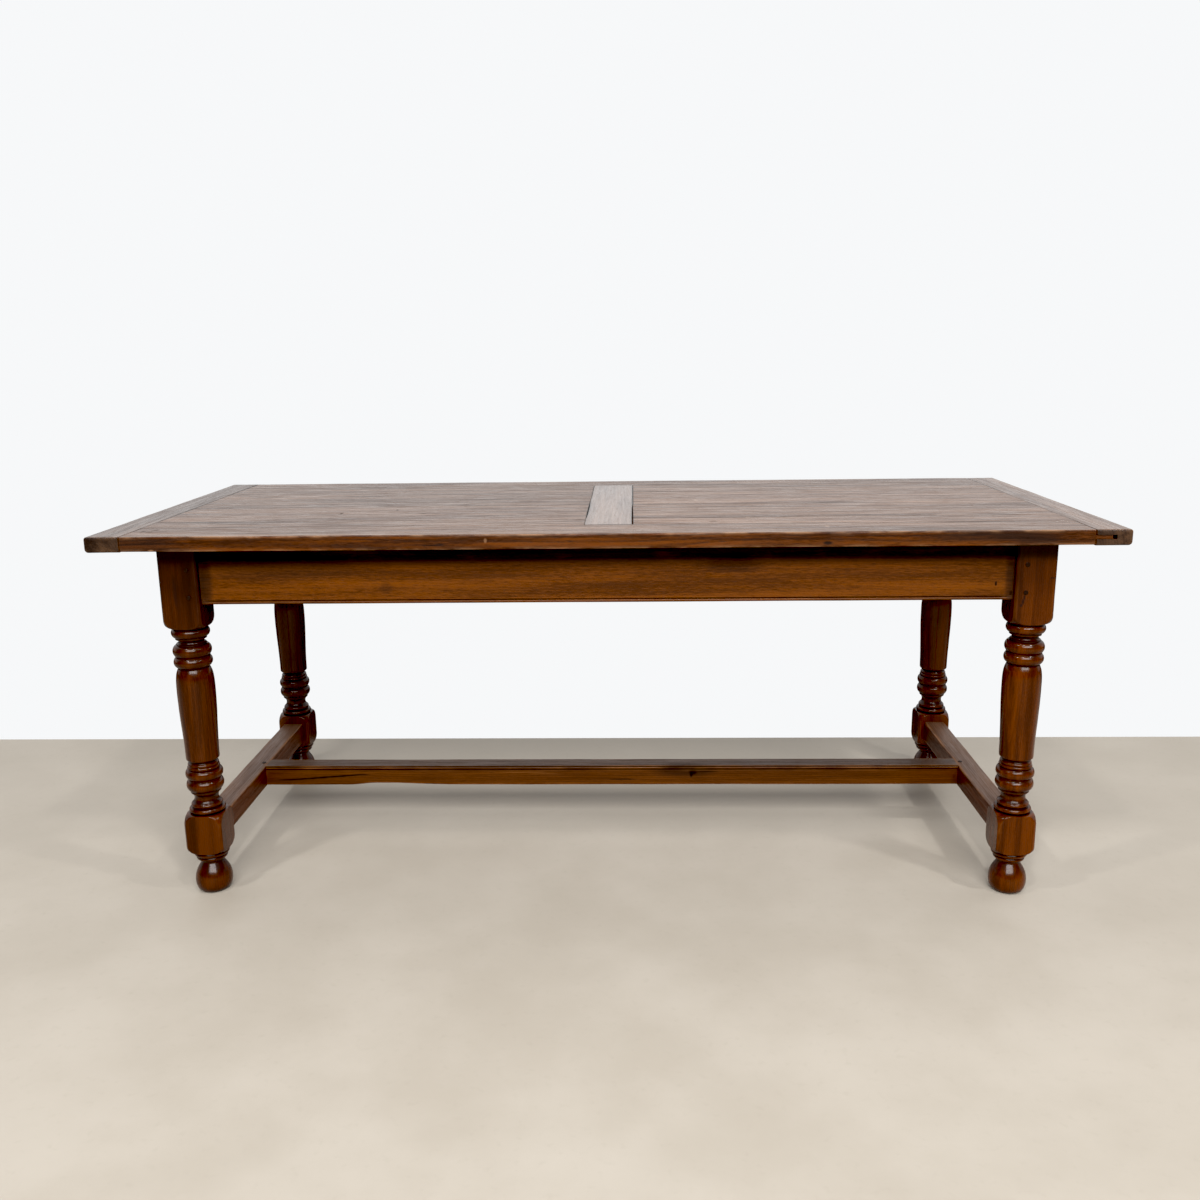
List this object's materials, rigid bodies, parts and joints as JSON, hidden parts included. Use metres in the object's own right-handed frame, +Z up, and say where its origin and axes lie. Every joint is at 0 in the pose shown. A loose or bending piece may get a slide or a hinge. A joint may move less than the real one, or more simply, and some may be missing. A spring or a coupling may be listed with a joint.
{
  "type": "farmhouse table",
  "caption": "Joined oak table with a framed plank top, turned legs on bun feet, beaded aprons and an H of stretchers, held by pegged mortise and tenon joints.",
  "frame": {"origin": "on the floor below the middle of the top's outline", "axes": "+X along the table to the right as seen from the front, +Y from the front to the back, +Z up"},
  "size_m": [1.944, 0.806, 0.76],
  "materials": {
    "top_oak": "worn wax, greyed",
    "end_oak": "worn wax, greyed",
    "leg_oak": "dark wax polish",
    "apron_oak": "wax polish",
    "stretcher_oak": "worn wax polish",
    "peg_oak": "dark wax polish",
    "button_oak": "plain",
    "screw_steel": "dull"
  },
  "bodies": {
    "root": {"top_rail_front": "top_oak", "top_rail_back": "top_oak", "top_board_left_1": "top_oak", "top_board_left_2": "top_oak", "top_board_left_3": "top_oak", "top_board_left_4": "top_oak", "top_board_right_1": "top_oak", "top_board_right_2": "top_oak", "top_board_right_3": "top_oak", "top_board_right_4": "top_oak", "top_end_left": "end_oak", "top_end_right": "end_oak", "top_cross_rail": "end_oak", "leg_front_left": "leg_oak", "leg_front_right": "leg_oak", "leg_back_left": "leg_oak", "leg_back_right": "leg_oak", "apron_front": "apron_oak", "apron_right": "apron_oak", "apron_back": "apron_oak", "apron_left": "apron_oak", "stretcher_left": "stretcher_oak", "stretcher_right": "stretcher_oak", "stretcher_centre": "stretcher_oak", "apron_pegs_front_left": "peg_oak", "apron_pegs_front_right": "peg_oak", "apron_pegs_back_left": "peg_oak", "apron_pegs_back_right": "peg_oak", "stretcher_pegs": "peg_oak", "centre_stretcher_pegs": "peg_oak", "top_buttons": "button_oak", "button_screws": "screw_steel"}
  },
  "joints": []
}
